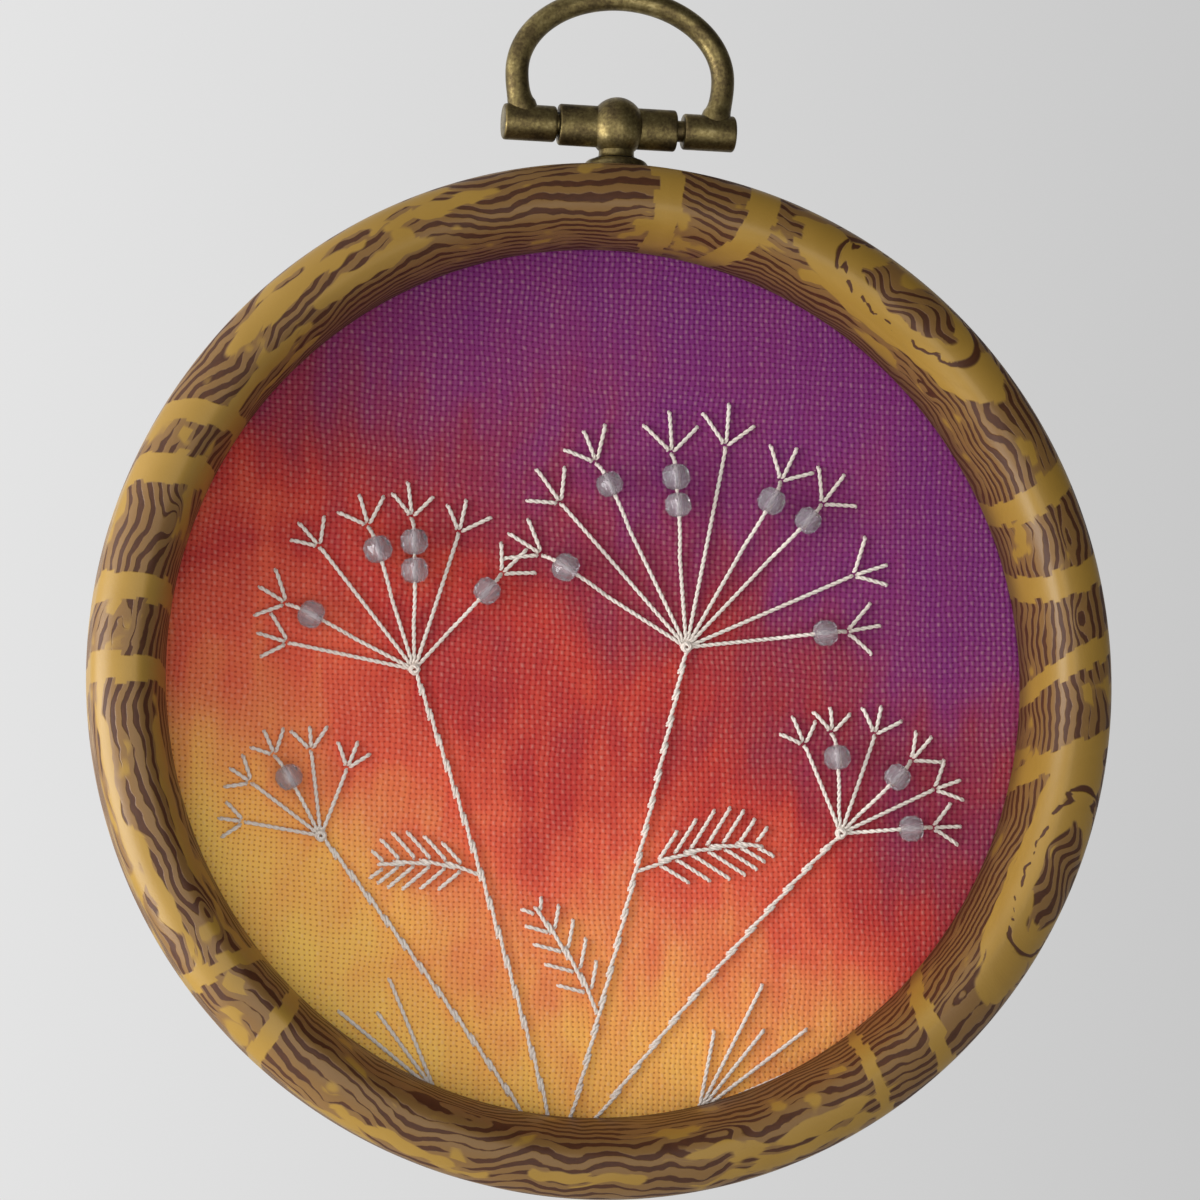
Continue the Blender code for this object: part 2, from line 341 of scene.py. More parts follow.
def bandMesh():
    outline = bandOutline()
    lengths = sectionLengths(outline)
    crestAcross = lengths[band["sectionSteps"][0]]
    printEnd = crestAcross + grain["printReach"]
    seam = math.radians(grain["seamDeg"])
    start = xAxis * math.cos(seam) + zAxis * math.sin(seam)
    # turned about -Y, so that degrees run from +X to +Z as they are read from the front
    turned = [(radius, -y) for radius, y in outline]
    mesh = turnedMesh("bandVinyl", turned, hoopPlace, -yAxis, start, band["steps"])
    seatZ = flangeLow.z - band["seatSink"]
    for vert in mesh.vertices:
        off = math.hypot(vert.co.x - hoopPlace.x, vert.co.y)
        vert.co.z = min(vert.co.z, seatZ + max(0.0, off - band["seatR"]) * band["seatSlope"])
    count = len(outline)
    fields, places, printAndShadeValues = {}, [], []
    for face in mesh.polygons:
        last = face.index // count == band["steps"] - 1
        for loop in face.loop_indices:
            vertex = mesh.loops[loop].vertex_index
            i, j = divmod(vertex, count)
            if last and i == 0:
                i = band["steps"]
            if (i, j) not in fields:
                deg = grain["seamDeg"] + 360 * i / band["steps"]
                flow, pale, density, line = grainFields(deg, lengths[j], crestAcross)
                # up to one: printed; from one to two: painted shade in the recess beside the lip
                printed = min(1.0, max(0.0, (printEnd - lengths[j]) / grain["printFade"]))
                amount = printed + smooth(4.6, 0.4, lengths[j])
                fields[(i, j)] = (math.radians(deg) * band["crestR"] / mm, flow, pale, amount, density, line)
            places += fields[(i, j)][:3]
            printAndShadeValues += fields[(i, j)][3:]
    mesh.attributes.new("grainPlace", "FLOAT_VECTOR", "CORNER").data.foreach_set("vector", places)
    mesh.attributes.new("grainInkAndLipShade", "FLOAT_VECTOR", "CORNER").data.foreach_set("vector", printAndShadeValues)
    turnOutward(mesh)
    return smoothed(mesh, 50)


def vinylMaterial():
    # Soft PVC, moulded with a fine skin and printed: satin, warm gold, with ink strokes that sit a little low
    material, tree, shader = newMaterial("mouldedPrintedVinyl", Roughness=0.42, IOR=1.5,
                                         Specular_IOR_Level=0.36)
    place = addNode(tree, "ShaderNodeAttribute", attribute_name="grainPlace").outputs["Vector"]
    printAndShadeFields = addNode(tree, "ShaderNodeAttribute", attribute_name="grainInkAndLipShade").outputs["Vector"]
    printAndLipShade, density, knotOff = addNode(tree, "ShaderNodeSeparateXYZ", {0: printAndShadeFields}).outputs
    amount = addNode(tree, "ShaderNodeMath", {0: printAndLipShade, 1: 1.0}, operation="MINIMUM")
    # painted shade: above one, the ground darkens towards the lip tone in the recess beside the cloth
    paintedLipShade = addNode(tree, "ShaderNodeMapRange", {"Value": printAndLipShade, "From Min": 1.0, "From Max": 2.0,
                                                  "To Max": 0.62})
    along, flow, pale = addNode(tree, "ShaderNodeSeparateXYZ", {0: place}).outputs
    # what bends the strokes: long waves that neighbours share, and a short wiggle; a third noise frays their sides
    perWave = tuple(1 / reach for reach in grain["waveReach"]) + (0.0,)
    noises = []
    for stretch, detail in ((perWave, 0.3), ((0.7, 0.35, 0.0), 0.0), ((1.0, 2.4, 0.0), 2.0)):
        stretched = addNode(tree, "ShaderNodeVectorMath", {0: place, 1: stretch}, operation="MULTIPLY")
        noises.append(addNode(tree, "ShaderNodeTexNoise", {"Vector": stretched, "Scale": 1.0, "Detail": detail}))
    wave, wiggle, rag = noises
    rows = addNode(tree, "ShaderNodeMath", {0: flow, 1: 1 / grain["pitch"]}, operation="MULTIPLY")
    waved = addNode(tree, "ShaderNodeMath", {0: wave, 1: grain["waveRows"], 2: rows}, operation="MULTIPLY_ADD")
    bent = addNode(tree, "ShaderNodeMath", {0: wiggle, 1: grain["wiggleRows"], 2: waved},
                   operation="MULTIPLY_ADD")
    row = addNode(tree, "ShaderNodeMath", {0: bent}, operation="FLOOR")
    phase = addNode(tree, "ShaderNodeMath", {0: bent}, operation="FRACT")
    centred = addNode(tree, "ShaderNodeMath", {0: phase, 1: 0.5}, operation="SUBTRACT")
    away = addNode(tree, "ShaderNodeMath", {0: centred}, operation="ABSOLUTE")
    # each row is cut into dashes of its own
    rowShift = addNode(tree, "ShaderNodeMath", {0: row, 1: 17.3}, operation="MULTIPLY")
    dashAlong = addNode(tree, "ShaderNodeMath", {0: along, 1: 1 / grain["strokeLength"], 2: rowShift},
                        operation="MULTIPLY_ADD")
    dashPlace = addNode(tree, "ShaderNodeCombineXYZ", {0: dashAlong, 1: rowShift})
    dash = addNode(tree, "ShaderNodeTexNoise", {"Vector": dashPlace, "Scale": 1.8, "Detail": 0.6})
    # the strokes swell and thin, and their sides are ragged
    cloud = addNode(tree, "ShaderNodeTexNoise", {"Vector": place, "Scale": 0.15, "Detail": 1.5})
    inkCloud = addNode(tree, "ShaderNodeMath", {0: density, 1: 0.13, 2: cloud}, operation="MULTIPLY_ADD")
    dashed = addNode(tree, "ShaderNodeMath", {0: dash, 1: 0.45, 2: inkCloud}, operation="MULTIPLY_ADD")
    thinnest, thickest = grain["strokeHalf"]
    width = addNode(tree, "ShaderNodeMapRange", {"Value": dashed, "From Min": 0.56, "From Max": 0.73,
                                                 "To Min": thinnest, "To Max": thickest})
    ragged = addNode(tree, "ShaderNodeMath", {0: rag, 1: 0.2, 2: width}, operation="MULTIPLY_ADD")
    room = addNode(tree, "ShaderNodeMath", {0: ragged, 1: away}, operation="SUBTRACT")
    stroke = addNode(tree, "ShaderNodeMapRange", {"Value": room, "From Min": -0.01, "From Max": 0.08},
                     interpolation_type="SMOOTHSTEP")
    # strokes stop at the pale bands, each at its own place
    rowEnd = addNode(tree, "ShaderNodeTexNoise", {"Vector": dashPlace, "Scale": 3.1, "Detail": 0.0})
    edge = addNode(tree, "ShaderNodeMath", {0: rowEnd, 1: -1.6, 2: pale}, operation="MULTIPLY_ADD")
    inked = addNode(tree, "ShaderNodeMapRange", {"Value": edge, "From Min": -0.92, "From Max": -0.72,
                                                 "To Min": 1.0, "To Max": 0.0}, interpolation_type="SMOOTHSTEP")
    printed = addNode(tree, "ShaderNodeMath", {0: stroke, 1: inked}, operation="MULTIPLY")
    # the broken line round each knot
    knotAway = addNode(tree, "ShaderNodeMath", {0: knotOff}, operation="ABSOLUTE")
    breaks = addNode(tree, "ShaderNodeTexNoise", {"Vector": place, "Scale": 0.8, "Detail": 1.0})
    knotRoom = addNode(tree, "ShaderNodeMapRange", {"Value": breaks, "From Min": 0.42, "From Max": 0.56,
                                                    "To Min": -0.08, "To Max": 0.24})
    knotInk = addNode(tree, "ShaderNodeMath", {0: knotRoom, 1: knotAway}, operation="SUBTRACT")
    knotLine = addNode(tree, "ShaderNodeMapRange", {"Value": knotInk, "From Min": 0.0, "From Max": 0.12},
                       interpolation_type="SMOOTHSTEP")
    allInk = addNode(tree, "ShaderNodeMath", {0: printed, 1: knotLine}, operation="MAXIMUM")
    mask = addNode(tree, "ShaderNodeMath", {0: allInk, 1: amount}, operation="MULTIPLY")
    # ground: gold in the pale bands, a dull brown glaze between the strokes that lie close together
    group = addNode(tree, "ShaderNodeMapRange", {"Value": dashed, "From Min": 0.56, "From Max": 0.6},
                    interpolation_type="SMOOTHSTEP")
    grouped = addNode(tree, "ShaderNodeMath", {0: group, 1: inked}, operation="MULTIPLY")
    glazed = addNode(tree, "ShaderNodeMath", {0: grouped, 1: amount}, operation="MULTIPLY")
    ground = addNode(tree, "ShaderNodeMix", {0: cloud, 6: linear(grain["vinyl"]), 7: linear(grain["vinylPale"])},
                     data_type="RGBA")
    glazeShare = addNode(tree, "ShaderNodeMath", {0: glazed, 1: 0.85}, operation="MULTIPLY")
    glazedGround = addNode(tree, "ShaderNodeMix", {0: glazeShare, 6: ground, 7: linear(grain["vinylDull"])},
                           data_type="RGBA")
    # the painted shade beside the lip darkens the ground here
    dull = addNode(tree, "ShaderNodeMix", {0: paintedLipShade, 6: glazedGround, 7: linear(grain["lip"])}, data_type="RGBA")
    ink = addNode(tree, "ShaderNodeMix", {0: rag, 6: linear(grain["ink"]), 7: linear(grain["inkSoft"])},
                  data_type="RGBA")
    colour = addNode(tree, "ShaderNodeMix", {0: mask, 6: dull, 7: ink}, data_type="RGBA")
    shine = addNode(tree, "ShaderNodeMapRange", {"Value": mask, "To Min": 0.4, "To Max": 0.55})
    sunk = addNode(tree, "ShaderNodeMath", {0: 0.0, 1: mask}, operation="SUBTRACT")
    skin = addNode(tree, "ShaderNodeTexNoise", {"Vector": place, "Scale": 3.0, "Detail": 3.0})
    height = addNode(tree, "ShaderNodeMath", {0: skin, 1: 0.25, 2: sunk}, operation="MULTIPLY_ADD")
    bump = addNode(tree, "ShaderNodeBump", {"Height": height, "Strength": 0.5, "Distance": grain["inkDepth"]})
    feed(tree, shader, {"Base Color": colour, "Roughness": shine, "Normal": bump})
    return material


newPiece("bandVinyl", bandMesh(), vinylMaterial(), "hoop", "vinyl", "band")
print("band made")


# Stiff inner hoop behind the cloth: moulded plastic

ring = {
    "innerR": 46.1 * mm,
    "outerR": 49.7 * mm,
    "frontY": 3.75 * mm,
    "edge": 0.55 * mm,
    "steps": 288,
    "plastic": ("#B99A66", "#C9AC7A"),
}


def ringMesh():
    e = ring["edge"]
    inner, outer, front, back = ring["innerR"] + e, ring["outerR"] - e, ring["frontY"] + e, backY - e
    corners = [(outer, front, 270), (outer, back, 0), (inner, back, 90), (inner, front, 180)]
    outline = []
    for radius, y, startDeg in corners:
        outline += arcPoints((radius, y), e, e, startDeg, startDeg + 90, 6)
    return cleaned(turnedMesh("innerHoop", outline, hoopPlace, yAxis, zAxis, ring["steps"]))


def plasticMaterial():
    # Polystyrene, injection moulded: even tan, satin, with faint flow clouds and a fine tool texture
    material, tree, shader = newMaterial("mouldedPolystyrene", Roughness=0.42, IOR=1.59)
    spot = addNode(tree, "ShaderNodeTexCoord").outputs["Object"]
    flowCloud = addNode(tree, "ShaderNodeTexNoise", {"Vector": spot, "Scale": 60.0, "Detail": 3.0})
    low, high = ring["plastic"]
    colour = addNode(tree, "ShaderNodeMix", {0: flowCloud, 6: linear(low), 7: linear(high)}, data_type="RGBA")
    tool = addNode(tree, "ShaderNodeTexNoise", {"Vector": spot, "Scale": 2600.0, "Detail": 2.0})
    bump = addNode(tree, "ShaderNodeBump", {"Height": tool, "Strength": 0.25, "Distance": 0.03 * mm})
    feed(tree, shader, {"Base Color": colour, "Normal": bump})
    return material


newPiece("innerHoop", ringMesh(), plasticMaterial(), "hoop", "ring_plastic", "inner_ring")
print("inner hoop made")


# Embroidery plan: four umbel flower heads on stems, ferny leaves and grass, in mm from the hoop's centre

embroidery = {
    "seed": 11,
    "threadR": 0.25,
    "beadR": 1.55,  # from the cloth to a bead's hole
    "beadPitch": 3.05,  # from one bead to the next
    "beadFromTip": 2.7,  # from a ray's tip to its last bead
    "climb": 5.5,  # how far before a bead the thread leaves the cloth
    "level": 1.2,  # half the length on which it lies level in the bead
    "tuck": 0.3,  # how far from its end a stitch turns down into the cloth
    "tuckDepth": 0.45,
    "stemStitch": 3.1,
    "stemOverlap": 1.42,  # stitches, from one stitch's start to its end
    "stemBeside": 0.2,
    "knotTurns": 2.3,
    "knotR": (0.52, 0.3),
    "longestFloat": 26.0,
    # flower heads: hub, stem bend, stem foot, aim degrees, spread degrees, rays, reach, rays that carry beads
    "heads": [
        {"hub": (9.5, 4.0), "bend": (5.0, -20.0), "foot": (-2.0, -47.4), "aim": 80, "spread": 140, "rays": 9,
         "reach": 22.0, "beaded": {0: 1, 2: 1, 3: 2, 5: 1, 6: 1, 8: 1}},
        {"hub": (-20.0, 0.5), "bend": (-12.0, -20.0), "foot": (-4.0, -47.2), "aim": 112, "spread": 120, "rays": 7,
         "reach": 16.0, "beaded": {1: 1, 3: 1, 4: 2, 6: 1}},
        {"hub": (27.0, -15.5), "bend": (14.0, -29.0), "foot": (0.5, -47.3), "aim": 60, "spread": 112, "rays": 6,
         "reach": 12.0, "beaded": {1: 1, 3: 1, 5: 1}},
        {"hub": (-29.5, -17.5), "bend": (-18.0, -31.0), "foot": (-6.5, -47.0), "aim": 122, "spread": 100, "rays": 5,
         "reach": 9.5, "beaded": {2: 1}},
    ],
    # ferny leaves: foot, tip, how far the midrib bows, pairs, length of the longest side stitch
    "leaves": [
        {"foot": (4.6, -20.5), "tip": (18.5, -17.0), "bow": 2.0, "pairs": 7, "side": 4.6},
        {"foot": (-12.2, -21.0), "tip": (-23.2, -20.5), "bow": -1.6, "pairs": 6, "side": 3.8},
        {"foot": (0.9, -35.5), "tip": (-6.4, -24.5), "bow": -1.0, "pairs": 5, "side": 3.4},
    ],
    # grass: foot, then direction and length of each blade
    "tufts": [
        ((12.0, -45.8), [(38, 15.0), (52, 11.5), (64, 15.5), (24, 12.0), (80, 9.0)]),
        ((-16.5, -44.2), [(142, 13.5), (128, 10.5), (114, 13.0), (155, 9.5)]),
    ],
}
chance = random.Random(embroidery["seed"])
stitches = []  # each one the points of a laid thread: x, z, height before the cloth
floats = []  # the same thread where it crosses behind the cloth
beads = []  # x, z, direction of the thread, in degrees


def laidHeight(travelled, length, lift, carried):
    r, level, tuck = embroidery["threadR"], embroidery["level"], embroidery["tuck"]
    height = r + 0.02 + lift * math.sin(math.pi * travelled / length)
    for place in carried:
        climb = min(embroidery["climb"], (place if travelled < place else length - place) - 0.2)
        share = 1 - min(1.0, max(0.0, abs(travelled - place) - level) / max(0.3, climb - level))
        height = max(height, r + (embroidery["beadR"] - r) * share * (2 - share))
    toEnd = min(travelled, length - travelled)
    return height if toEnd > tuck else height - (height + embroidery["tuckDepth"]) * (1 - toEnd / tuck) ** 2


def layStitch(a, b, lift=0.05, carried=()):
    length = math.dist(a, b)
    steps = max(8, round(length / 0.3))
    points = []
    for i in range(steps + 1):
        share = i / steps
        x, z = a[0] + (b[0] - a[0]) * share, a[1] + (b[1] - a[1]) * share
        points.append((x, z, laidHeight(length * share, length, lift, carried)))
    if stitches and math.dist(stitches[-1][-1][:2], a) > 1.2:
        floats.append((stitches[-1][-1][:2], a))
    stitches.append(points)
    for place in carried:
        share = place / length
        spot = (a[0] + (b[0] - a[0]) * share, a[1] + (b[1] - a[1]) * share)
        beads.append((*spot, math.degrees(math.atan2(b[1] - a[1], b[0] - a[0]))))


def stepFrom(place, deg, reach):
    return place[0] + reach * math.cos(math.radians(deg)), place[1] + reach * math.sin(math.radians(deg))


def bentLine(a, bend, b, share):  # a quadratic curve from a to b
    rest = 1 - share
    return tuple(rest * rest * p + 2 * rest * share * q + share * share * s for p, q, s in zip(a, bend, b))


def sewStem(foot, bend, hub):  # stem stitch: each stitch starts beside the middle of the one before
    length = math.dist(foot, bend) + math.dist(bend, hub)
    count = round(length / embroidery["stemStitch"])
    beside = embroidery["stemBeside"]
    for i in range(count):
        a = bentLine(foot, bend, hub, i / count)
        b = bentLine(foot, bend, hub, min(1.0, (i + embroidery["stemOverlap"]) / count))
        deg = math.degrees(math.atan2(b[1] - a[1], b[0] - a[0]))
        layStitch(stepFrom(a, deg + 90, beside), stepFrom(b, deg - 90, beside), 0.1)


def sewKnot(place):  # a French knot: the thread wound round and sunk in its middle
    points = []
    steps = 26
    outerR, innerR = embroidery["knotR"]
    for i in range(steps + 1):
        share = i / steps
        deg = 360 * embroidery["knotTurns"] * share + 40
        x, z = stepFrom(place, deg, outerR + (innerR - outerR) * share)
        points.append((x, z, 0.28 + 0.5 * share if i < steps - 1 else 0.1))
    stitches.append(points)


def sewHead(head):
    sewStem(head["foot"], head["bend"], head["hub"])
    middle = (head["rays"] - 1) / 2
    for i in range(head["rays"]):
        deg = head["aim"] - head["spread"] * (i / middle - 1) / 2 + chance.uniform(-3, 3)
        reach = head["reach"] * (1 - 0.16 * ((i - middle) / middle) ** 2) * chance.uniform(0.94, 1.05)
        root = stepFrom(head["hub"], deg, 0.5)
        tip = stepFrom(head["hub"], deg, reach)
        last = math.dist(root, tip) - embroidery["beadFromTip"]
        carried = [last - embroidery["beadPitch"] * k for k in range(head["beaded"].get(i, 0))]
        layStitch(root, tip, 0.06 + 0.05 * (i % 3), carried)
        for k in (-1, 0, 1):
            side = deg + k * 42 + chance.uniform(-7, 7)
            small = (1.4 + head["reach"] * 0.11) * chance.uniform(0.85, 1.12)
            layStitch(stepFrom(tip, side, 0.45), stepFrom(tip, side, small + 0.5), 0.03)
    sewKnot(head["hub"])


def sewLeaf(leaf):
    foot, tip = leaf["foot"], leaf["tip"]
    deg = math.degrees(math.atan2(tip[1] - foot[1], tip[0] - foot[0]))
    half = ((foot[0] + tip[0]) / 2, (foot[1] + tip[1]) / 2)
    bend = stepFrom(half, deg + 90, leaf["bow"])
    sewStem(foot, bend, tip)
    for i in range(leaf["pairs"]):
        share = 0.2 + 0.76 * i / (leaf["pairs"] - 1)
        root = bentLine(foot, bend, tip, share)
        reach = leaf["side"] * math.sin(math.pi * (0.16 + 0.74 * share)) * chance.uniform(0.9, 1.08)
        for side in (1, -1):
            layStitch(stepFrom(root, deg + side * 90, 0.4), stepFrom(root, deg + side * 48, reach + 0.4), 0.04)


for head in embroidery["heads"]:
    sewHead(head)
for leaf in embroidery["leaves"]:
    sewLeaf(leaf)
for foot, blades in embroidery["tufts"]:
    for deg, reach in blades:
        layStitch(stepFrom(foot, deg, 0.5), stepFrom(foot, deg, reach), 0.06)


# Cloth: one drum-tight sheet of plain-weave cotton, its edge turned back over the inner hoop

cloth = {
    "frontY": 2.95 * mm,
    "thick": 0.35 * mm,
    "outerR": 50.95 * mm,
    "fold": 0.7 * mm,
    "edgeY": 6.2 * mm,
    "sectors": 300,
    "rings": 74,
    "flatR": 54.3 * mm,
    "warpPitch": 0.59,  # mm from thread to thread
    "weftPitch": 0.55,
    "wander": 1.6,  # mm that the threads stray from their rows
    "pinholeShade": 0.8,  # how dark the painted shade in the holes between the threads is
    "relief": 0.09 * mm,
    "tiltDeg": 28.0,  # the dip-dyed bands run at this slant
    "dyeReach": (-46.0, 44.0),  # mm from the hoop's centre, where the first and the last tone lie
    "dyeRuns": (0.52, 0.2),  # shares of the whole range by which broad clouds and fine runs shift the bands
    # painted highlight on the yarn crowns, together with the pale of dye that sits thin there
    "thinDyeAndCrownHighlight": "#E9C9B8",
    "backTint": "#D8C3B0",
    "backShare": 0.32,
    "dye": [(0.0, "#FDCB62"), (0.13, "#F6B158"), (0.24, "#E98A50"), (0.36, "#DA593F"), (0.47, "#B93630"),
            (0.56, "#9A2B37"), (0.66, "#882848"), (0.77, "#7C2762"), (0.88, "#742367"), (1.0, "#6E2069")],
}


def clothMesh():
    cell = 3  # mm, so that each point looks only at the needle holes near it
    dips = {}
    for line in stitches:
        for x, z, _ in (line[0], line[-1]):
            dips.setdefault((round(x / cell), round(z / cell)), []).append((x, z))

    def dip(x, z):  # a small dimple at each needle hole
        total = 0.0
        key = round(x / cell), round(z / cell)
        for i in (-1, 0, 1):
            for j in (-1, 0, 1):
                for px, pz in dips.get((key[0] + i, key[1] + j), ()):
                    total += math.exp(-((x - px) ** 2 + (z - pz) ** 2) / 0.9)
        return min(0.22, 0.11 * total) * mm

    rings, sectors = cloth["rings"], cloth["sectors"]
    radii = [(cloth["outerR"] - cloth["fold"]) * i / rings for i in range(rings + 1)]
    points, behind = [], []
    front, thick = cloth["frontY"], cloth["thick"]
    for i in range(sectors):
        turn = 2 * math.pi * i / sectors
        c, s = math.cos(turn), math.sin(turn)
        wave = 0.25 * math.sin(5 * turn) + 0.2 * math.sin(13 * turn + 1) + chance.uniform(-0.12, 0.12)
        section = [(radius, front + dip(radius * c / mm, radius * s / mm)) for radius in radii]
        inner = [(radius, y + thick) for radius, y in section]
        bend = (cloth["outerR"] - cloth["fold"], front + cloth["fold"])
        section += arcPoints(bend, cloth["fold"], cloth["fold"], 270, 360, 5)[1:]
        small = cloth["fold"] - thick
        inner += arcPoints(bend, small, small, 270, 360, 5)[1:]
        edge = cloth["edgeY"] + wave * mm
        for k in range(1, 6):
            y = bend[1] + (edge - bend[1]) * k / 5
            sway = 0.12 * mm * math.sin(9 * turn + k) * k / 5
            section.append((cloth["outerR"] + min(0.0, sway), y))
            inner.append((cloth["outerR"] - thick + min(0.0, sway), y))
        outline = section + list(reversed(inner))
        points += [hoopPlace + Vector((radius * c, y, radius * s)) for radius, y in outline]
        behind += [0.0] * len(section) + [1.0] * len(inner)
    mesh = newMesh("clothFace", points, faces=gridFaces(sectors, len(outline), joinCount=False))
    mesh.attributes.new("behind", "FLOAT", "POINT").data.foreach_set("value", behind)
    return cleaned(mesh, 70)


def clothMaterial():
    # Cotton, plain weave, dip dyed from purple to gold: matt, with pale crowns, a painted highlight together with dye
    # that sits thin there, and painted shade in the pinholes between the threads
    material, tree, shader = newMaterial("dipDyedPlainWeaveCotton", Roughness=0.86, IOR=1.5, Sheen_Weight=0.03,
                                         Sheen_Roughness=0.5, Specular_IOR_Level=0.15)
    spot = addNode(tree, "ShaderNodeTexCoord").outputs["Object"]
    local = addNode(tree, "ShaderNodeVectorMath", {0: spot, 1: tuple(hoopPlace)}, operation="SUBTRACT")
    inMm = addNode(tree, "ShaderNodeVectorMath", {0: local, "Scale": 1 / mm}, operation="SCALE")
    x, _, z = addNode(tree, "ShaderNodeSeparateXYZ", {0: inMm}).outputs
    # the threads wander a little, and the weft bows down towards the middle
    drift = addNode(tree, "ShaderNodeTexNoise", {"Vector": inMm, "Scale": 0.09, "Detail": 4.0, "Roughness": 0.62})
    driftX, driftZ, _ = addNode(tree, "ShaderNodeSeparateColor", {0: drift.outputs["Color"]}).outputs
    wander = cloth["wander"]
    lean = addNode(tree, "ShaderNodeMath", {0: z, 1: 0.02, 2: x}, operation="MULTIPLY_ADD")
    warpAt = addNode(tree, "ShaderNodeMath", {0: driftX, 1: wander, 2: lean}, operation="MULTIPLY_ADD")
    bow = addNode(tree, "ShaderNodeMath", {0: x, 1: -0.00062, 2: 0.026}, operation="MULTIPLY_ADD")
    bowed = addNode(tree, "ShaderNodeMath", {0: x, 1: bow, 2: z}, operation="MULTIPLY_ADD")
    weftAt = addNode(tree, "ShaderNodeMath", {0: driftZ, 1: wander, 2: bowed}, operation="MULTIPLY_ADD")
    waves, shades = [], []
    for at, pitch in ((warpAt, cloth["warpPitch"]), (weftAt, cloth["weftPitch"])):
        turn = addNode(tree, "ShaderNodeMath", {0: at, 1: math.pi / pitch}, operation="MULTIPLY")
        waves.append(addNode(tree, "ShaderNodeMath", {0: turn}, operation="SINE"))
        number = addNode(tree, "ShaderNodeMath", {0: at, 1: 1 / pitch}, operation="MULTIPLY")
        whole = addNode(tree, "ShaderNodeMath", {0: number}, operation="FLOOR")
        shades.append(addNode(tree, "ShaderNodeTexWhiteNoise", {"W": whole}, noise_dimensions="1D"))
    across = addNode(tree, "ShaderNodeMath", {0: waves[0]}, operation="ABSOLUTE")
    down = addNode(tree, "ShaderNodeMath", {0: waves[1]}, operation="ABSOLUTE")
    over = addNode(tree, "ShaderNodeMath", {0: waves[0], 1: waves[1]}, operation="MULTIPLY")
    narrow = addNode(tree, "ShaderNodeMath", {0: across, 1: 2.2}, operation="POWER")
    tall = addNode(tree, "ShaderNodeMath", {0: down, 1: 0.8}, operation="POWER")
    crown = addNode(tree, "ShaderNodeMath", {0: narrow, 1: tall}, operation="MULTIPLY")
    side = addNode(tree, "ShaderNodeMapRange", {"Value": over, "From Min": -0.25, "From Max": 0.35, "To Min": 0.3})
    filled = addNode(tree, "ShaderNodeMath", {0: across, 1: down}, operation="MAXIMUM")
    hole = addNode(tree, "ShaderNodeMapRange", {"Value": filled, "From Min": 0.7, "From Max": 0.25},
                   interpolation_type="SMOOTHSTEP")
    # slubs: each thread is a little lighter or darker, in patches along it
    patch = addNode(tree, "ShaderNodeTexNoise", {"Vector": inMm, "Scale": 0.8, "Detail": 4.0, "Roughness": 0.62})
    threadShade = addNode(tree, "ShaderNodeMath", {0: shades[0], 1: shades[1]}, operation="ADD")
    shade = addNode(tree, "ShaderNodeMath", {0: patch, 1: 2.0, 2: threadShade}, operation="MULTIPLY_ADD")
    # dye: bands at a slant, with soft runs where the bath crept up the threads
    tilt = math.radians(cloth["tiltDeg"])
    slanted = addNode(tree, "ShaderNodeVectorMath", {0: inMm, 1: (math.sin(tilt), 0.0, math.cos(tilt))},
                      operation="DOT_PRODUCT")
    broad = addNode(tree, "ShaderNodeTexNoise", {"Vector": inMm, "Scale": 0.045, "Detail": 3.0, "Roughness": 0.55,
                                                 "Distortion": 0.4})
    creepPlace = addNode(tree, "ShaderNodeVectorMath", {0: inMm, 1: (1.0, 1.0, 0.28)}, operation="MULTIPLY")
    creep = addNode(tree, "ShaderNodeTexNoise", {"Vector": creepPlace, "Scale": 0.32, "Detail": 4.0})
    # both clouds average half, so the range starts that much lower
    lowest, highest = cloth["dyeReach"]
    broadRun, fineRun = cloth["dyeRuns"]
    start = -(broadRun + fineRun) / 2
    depth = addNode(tree, "ShaderNodeMapRange", {"Value": slanted.outputs["Value"], "From Min": lowest,
                                                 "From Max": highest, "To Min": start, "To Max": start + 1})
    depthBroad = addNode(tree, "ShaderNodeMath", {0: broad, 1: broadRun, 2: depth}, operation="MULTIPLY_ADD")
    depthAll = addNode(tree, "ShaderNodeMath", {0: creep, 1: fineRun, 2: depthBroad}, operation="MULTIPLY_ADD")
    dye = addNode(tree, "ShaderNodeValToRGB", {0: depthAll}, stops=cloth["dye"])
    # painted highlight: the yarn crowns are mixed towards a pale tint, partly the dye sitting thin there
    pale = addNode(tree, "ShaderNodeMix", {0: 0.24, 6: dye, 7: linear(cloth["thinDyeAndCrownHighlight"])}, data_type="RGBA")
    # painted shade: the dye darkened where the holes between the threads lie
    paintedHoleShade = addNode(tree, "ShaderNodeMix", {0: 1.0, 6: dye, 7: (0.58, 0.34, 0.44, 1.0)}, data_type="RGBA",
                   blend_type="MULTIPLY")
    crownShade = addNode(tree, "ShaderNodeMapRange", {"Value": shade, "From Min": 0.7, "From Max": 3.0,
                                                      "To Min": 0.15, "To Max": 1.0})
    crownLight = addNode(tree, "ShaderNodeMath", {0: crown, 1: crownShade}, operation="MULTIPLY")
    crownMask = addNode(tree, "ShaderNodeMath", {0: crownLight, 1: side}, operation="MULTIPLY")
    lit = addNode(tree, "ShaderNodeMix", {0: crownMask, 6: dye, 7: pale}, data_type="RGBA")
    # the painted shade goes into the holes between the threads
    holeShadeMask = addNode(tree, "ShaderNodeMath", {0: hole, 1: cloth["pinholeShade"]}, operation="MULTIPLY")
    withHoleShade = addNode(tree, "ShaderNodeMix", {0: holeShadeMask, 6: lit, 7: paintedHoleShade}, data_type="RGBA")
